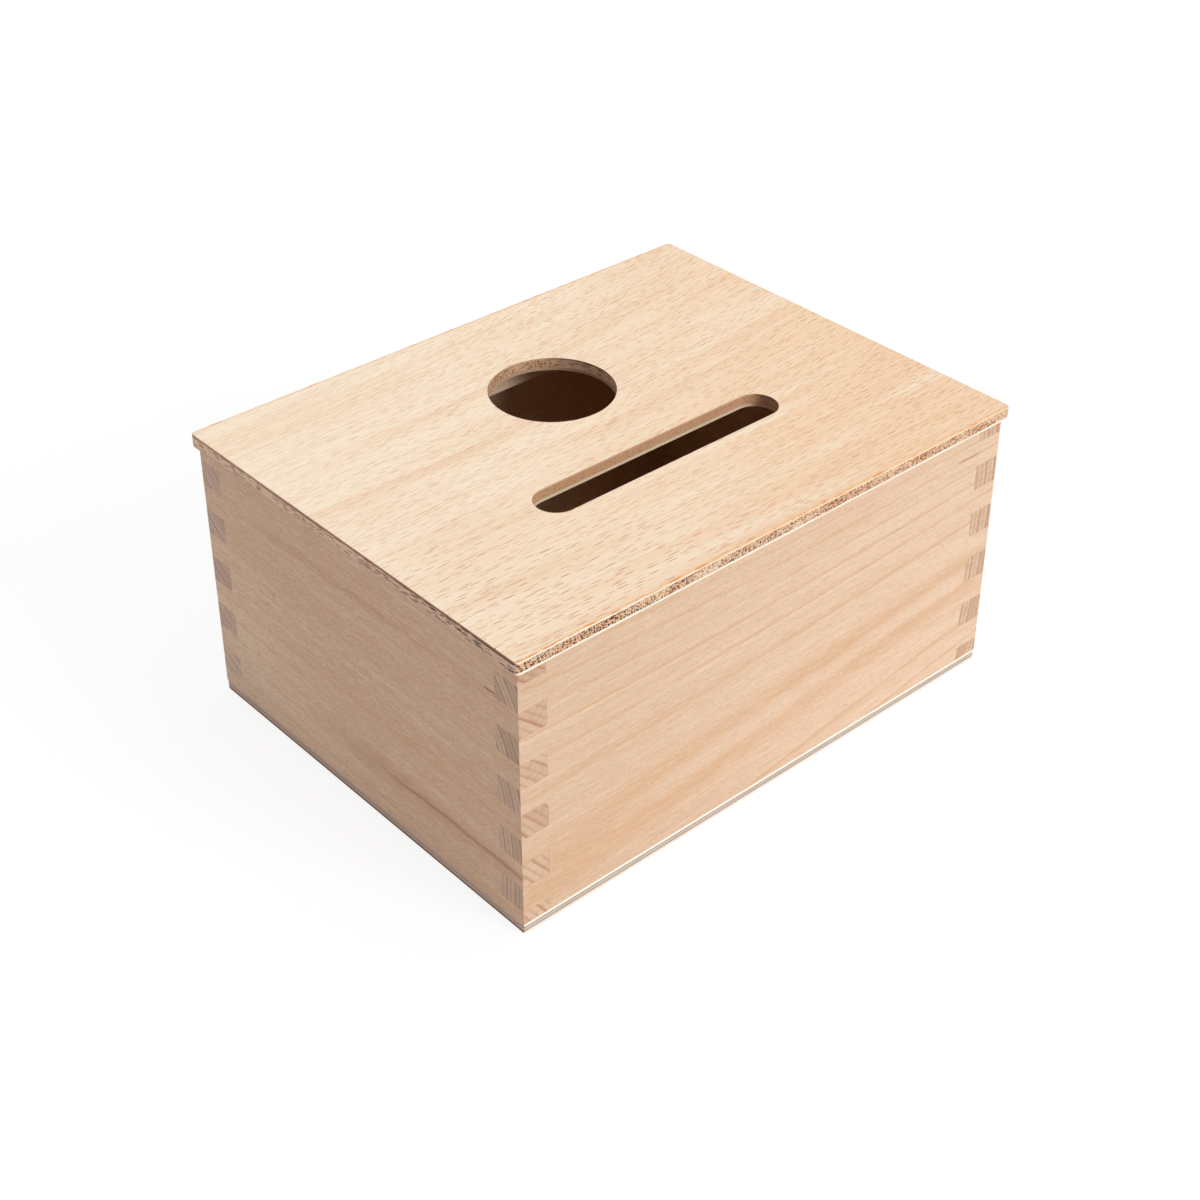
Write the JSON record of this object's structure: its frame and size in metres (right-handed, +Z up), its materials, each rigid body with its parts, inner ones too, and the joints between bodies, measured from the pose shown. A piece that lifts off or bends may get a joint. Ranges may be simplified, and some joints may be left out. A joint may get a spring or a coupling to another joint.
{
  "type": "object permanence box",
  "caption": "Finger-jointed beech posting box with a plywood base and a loose plywood lid; a ball drops in through the lid's round hole and flat things through its slot.",
  "frame": {"origin": "middle of the base's underside", "axes": "+X along the long walls, +Y from the slot towards the ball hole, +Z up"},
  "size_m": [0.225, 0.175, 0.11],
  "materials": {
    "beech_board": "sanded beech, matt",
    "beech_cleat": "planed beech, matt",
    "lid_face_veneer": "sanded beech veneer, matt",
    "lid_core_veneer": "sawn plywood edge",
    "base_face_veneer": "sanded veneer, matt",
    "base_core_veneer": "sawn plywood edge"
  },
  "bodies": {
    "box": {"front_wall": "beech_board", "back_wall": "beech_board", "left_wall": "beech_board", "right_wall": "beech_board", "base_bottom_ply": "base_face_veneer", "base_core_ply": "base_core_veneer", "base_top_ply": "base_face_veneer"},
    "lid": {"lid_bottom_ply": "lid_face_veneer", "lid_core_ply": "lid_core_veneer", "lid_top_ply": "lid_face_veneer", "front_cleat": "beech_cleat", "back_cleat": "beech_cleat"}
  },
  "joints": [
    {"name": "lid_lift", "type": "slide", "parent": "box", "child": "lid", "axis": [0, 0, 1], "range_m": [0, 0.12]}
  ]
}
